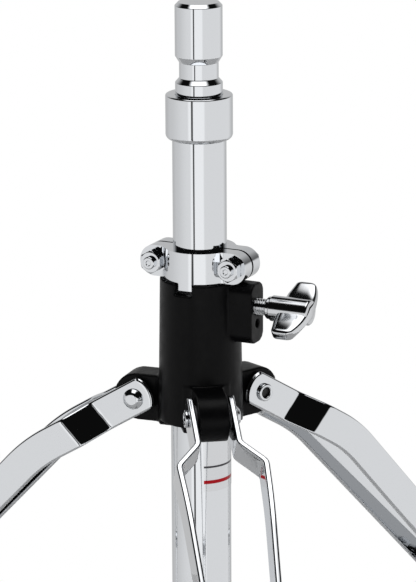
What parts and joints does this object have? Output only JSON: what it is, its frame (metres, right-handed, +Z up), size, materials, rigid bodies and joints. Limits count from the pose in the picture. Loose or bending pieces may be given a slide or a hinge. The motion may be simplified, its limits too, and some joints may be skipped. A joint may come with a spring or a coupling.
{
  "type": "tripod stand base",
  "caption": "Chromed tripod stand base with a black cast hub, telescoping post with a memory lock and wing screw, and a necked spigot on top.",
  "frame": {"origin": "on the post axis, in the top face of the collar that a mounted part rests on", "axes": "+Z up along the post, towards the spigot; leg 1 points along -Y"},
  "size_m": [0.7348, 0.6368, 0.5814],
  "materials": {
    "chrome": "polished",
    "hub_black": "satin powder coat",
    "nylon": "matt",
    "rubber": "matt",
    "brass": "turned",
    "decal": "satin film"
  },
  "bodies": {
    "base": {"hub": "hub_black", "hub_bushing": "nylon", "leg_pivot_rivets": "chrome", "leg_pivot_washers": "nylon", "base_tube": "chrome", "base_tube_cap": "rubber", "tube_decal": "decal"},
    "post": {"post_tube": "chrome", "top_spigot": "chrome", "post_collar": "chrome", "lock_front_half": "chrome", "lock_rear_half": "chrome", "lock_bolts": "chrome", "lock_nuts": "chrome"},
    "post_pad": {"post_screw_pad": "brass"},
    "post_screw": {"post_screw": "chrome"},
    "leg_1": {"leg_1_strap_left": "chrome", "leg_1_strap_right": "chrome", "leg_1_strut_sleeves": "chrome", "leg_1_strut_rivet": "chrome", "leg_1_foot": "rubber", "leg_1_foot_rivet": "chrome"},
    "strut_1": {"strut_1": "chrome"},
    "leg_2": {"leg_2_strap_left": "chrome", "leg_2_strap_right": "chrome", "leg_2_strut_sleeves": "chrome", "leg_2_strut_rivet": "chrome", "leg_2_foot": "rubber", "leg_2_foot_rivet": "chrome"},
    "strut_2": {"strut_2": "chrome"},
    "leg_3": {"leg_3_strap_left": "chrome", "leg_3_strap_right": "chrome", "leg_3_strut_sleeves": "chrome", "leg_3_strut_rivet": "chrome", "leg_3_foot": "rubber", "leg_3_foot_rivet": "chrome"},
    "strut_3": {"strut_3": "chrome"},
    "slider": {"sliding_collar": "hub_black", "slider_rivets": "chrome"},
    "slider_pad": {"slider_screw_pad": "brass"},
    "slider_screw": {"slider_screw": "chrome"}
  },
  "joints": [
    {"name": "post_slide", "type": "slide", "parent": "base", "child": "post", "axis": [0, 0, 1], "range_m": [0, 0.15]},
    {"name": "post_pad_slide", "type": "slide", "parent": "base", "child": "post_pad", "axis": [0.8192, -0.5736, 0], "range_m": [0, 0.0025]},
    {"name": "post_screw_turn", "type": "hinge", "parent": "post_pad", "child": "post_screw", "pos_m": [0, 0, -0.099], "axis": [0.8192, -0.5736, 0], "range_deg": [-1, 721]},
    {"name": "leg_1_fold", "type": "hinge", "parent": "base", "child": "leg_1", "pos_m": [0, -0.0302, -0.1481], "axis": [1, 0, 0], "range_deg": [0, 38]},
    {"name": "strut_1_swing", "type": "hinge", "parent": "leg_1", "child": "strut_1", "pos_m": [0, -0.16721, -0.27241], "axis": [1, 0, 0], "range_deg": [-76.1, 0.1]},
    {"name": "leg_2_fold", "type": "hinge", "parent": "base", "child": "leg_2", "pos_m": [0.02615, 0.0151, -0.1481], "axis": [-0.5, 0.866, 0], "range_deg": [-0.1, 38.1]},
    {"name": "strut_2_swing", "type": "hinge", "parent": "leg_2", "child": "strut_2", "pos_m": [0.14481, 0.08361, -0.27241], "axis": [-0.5, 0.866, 0], "range_deg": [-76.1, 0.1]},
    {"name": "leg_3_fold", "type": "hinge", "parent": "base", "child": "leg_3", "pos_m": [-0.02615, 0.0151, -0.1481], "axis": [-0.5, -0.866, 0], "range_deg": [-0.1, 38.1]},
    {"name": "strut_3_swing", "type": "hinge", "parent": "leg_3", "child": "strut_3", "pos_m": [-0.14481, 0.08361, -0.27241], "axis": [-0.5, -0.866, 0], "range_deg": [-76.1, 0.1]},
    {"name": "slider_hinge", "type": "hinge", "parent": "strut_1", "child": "slider", "pos_m": [0, -0.0302, -0.39672], "axis": [1, 0, 0], "range_deg": [-0.1, 38.1]},
    {"name": "slider_pad_slide", "type": "slide", "parent": "slider", "child": "slider_pad", "axis": [0.866, -0.5, 0], "range_m": [0, 0.0025]},
    {"name": "slider_screw_turn", "type": "hinge", "parent": "slider_pad", "child": "slider_screw", "pos_m": [0, 0, -0.38772], "axis": [0.866, -0.5, 0], "range_deg": [-1, 721]}
  ],
  "couplings": [
    {"joint": "post_screw_turn", "follows": "post_pad_slide", "rad_per_m": 5026.5},
    {"joint": "strut_1_swing", "follows": "leg_1_fold", "ratio": -2},
    {"joint": "leg_2_fold", "follows": "leg_1_fold", "ratio": 1},
    {"joint": "strut_2_swing", "follows": "leg_1_fold", "ratio": -2},
    {"joint": "leg_3_fold", "follows": "leg_1_fold", "ratio": 1},
    {"joint": "strut_3_swing", "follows": "leg_1_fold", "ratio": -2},
    {"joint": "slider_hinge", "follows": "leg_1_fold", "ratio": 1},
    {"joint": "slider_screw_turn", "follows": "slider_pad_slide", "rad_per_m": 5026.5}
  ]
}
